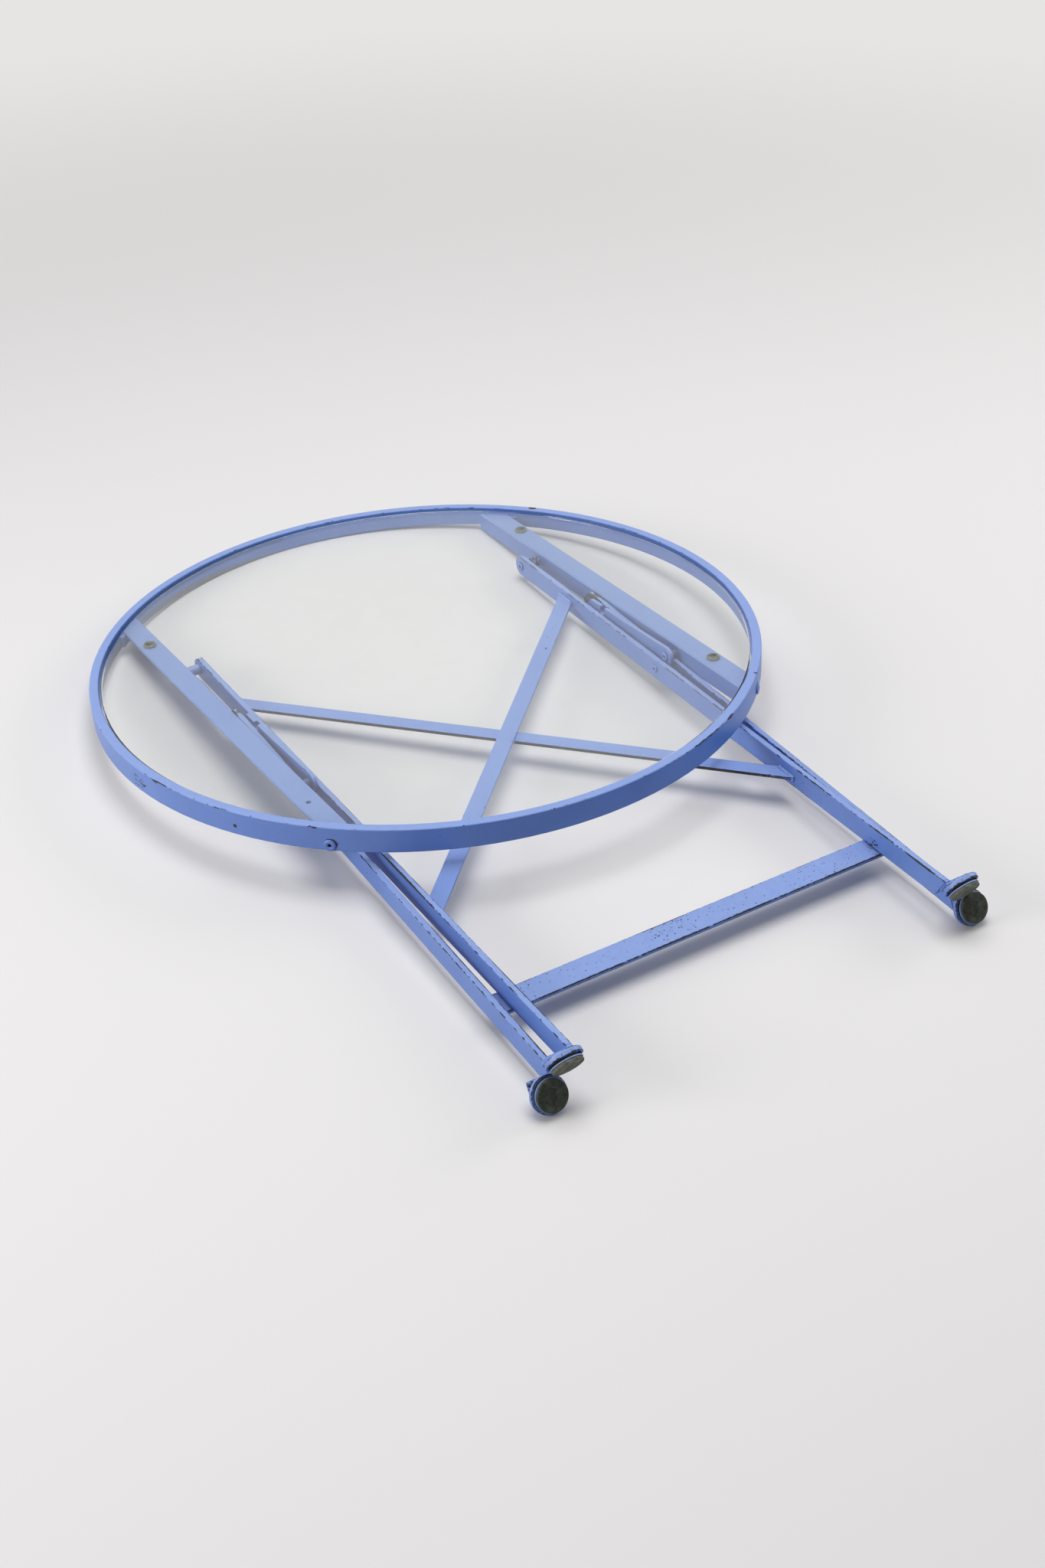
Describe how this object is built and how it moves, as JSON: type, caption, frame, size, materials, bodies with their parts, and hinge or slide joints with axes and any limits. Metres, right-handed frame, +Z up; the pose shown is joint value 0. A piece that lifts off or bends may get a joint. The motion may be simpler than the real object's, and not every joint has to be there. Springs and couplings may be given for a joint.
{
  "type": "folding cafe table",
  "caption": "Round folding cafe table: a glass top set in a flat steel hoop, on a double scissor of flat bars with swinging latches; shown folded flat.",
  "frame": {"origin": "middle of the bounding box at the ground, with the table folded and lying flat, glass up", "axes": "+X along the pivots, from the left legs to the right ones; -Y towards the feet; +Z up from the ground"},
  "size_m": [0.7, 0.9628, 0.0791],
  "materials": {
    "blue_paint": "semi-gloss, chipped",
    "rivet_steel": "painted over, worn",
    "glass": "clear float glass",
    "rubber": "matte, dusty",
    "bumper": "aged translucent"
  },
  "bodies": {
    "top": {"ring": "blue_paint", "glass": "glass", "rail_left": "blue_paint", "rail_right": "blue_paint", "bumpers": "bumper", "ring_rivets": "rivet_steel", "leg_pivot_rivets": "rivet_steel", "leg_pivot_spacers": "rivet_steel", "latch_rivets": "rivet_steel", "latch_spacers": "rivet_steel"},
    "inner_frame": {"inner_leg_left": "blue_paint", "inner_leg_right": "blue_paint", "brace_upper": "blue_paint", "brace_lower": "blue_paint", "scissor_rivets": "rivet_steel", "scissor_spacers": "rivet_steel", "inner_foot_plate_left": "blue_paint", "inner_foot_plate_right": "blue_paint", "inner_pad_left": "rubber", "inner_pad_right": "rubber"},
    "outer_frame": {"outer_leg_left": "blue_paint", "outer_leg_right": "blue_paint", "stretcher": "blue_paint", "latch_pegs": "rivet_steel", "outer_foot_plate_left": "blue_paint", "outer_foot_plate_right": "blue_paint", "outer_pad_left": "rubber", "outer_pad_right": "rubber"},
    "latch_left": {"latch_left": "blue_paint"},
    "latch_right": {"latch_right": "blue_paint"}
  },
  "joints": [
    {"name": "leg_fold", "type": "hinge", "parent": "top", "child": "inner_frame", "pos_m": [0, 0.26234, 0.01882], "axis": [1, 0, 0], "range_deg": [0, 57.28]},
    {"name": "outer_fold", "type": "hinge", "parent": "inner_frame", "child": "outer_frame", "pos_m": [0, -0.00554, 0.0269], "axis": [1, 0, 0], "range_deg": [0, 57.77]},
    {"name": "latch_left_swing", "type": "hinge", "parent": "top", "child": "latch_left", "pos_m": [0, -0.01167, 0.04215], "axis": [-1, 0, 0], "range_deg": [0, 58.78]},
    {"name": "latch_right_swing", "type": "hinge", "parent": "top", "child": "latch_right", "pos_m": [0, -0.01167, 0.04215], "axis": [-1, 0, 0], "range_deg": [0, 58.78]}
  ],
  "couplings": [
    {"joint": "outer_fold", "follows": "leg_fold", "ratio": 1.0086},
    {"joint": "latch_left_swing", "follows": "leg_fold", "ratio": 1.0262},
    {"joint": "latch_right_swing", "follows": "leg_fold", "ratio": 1.0262}
  ]
}
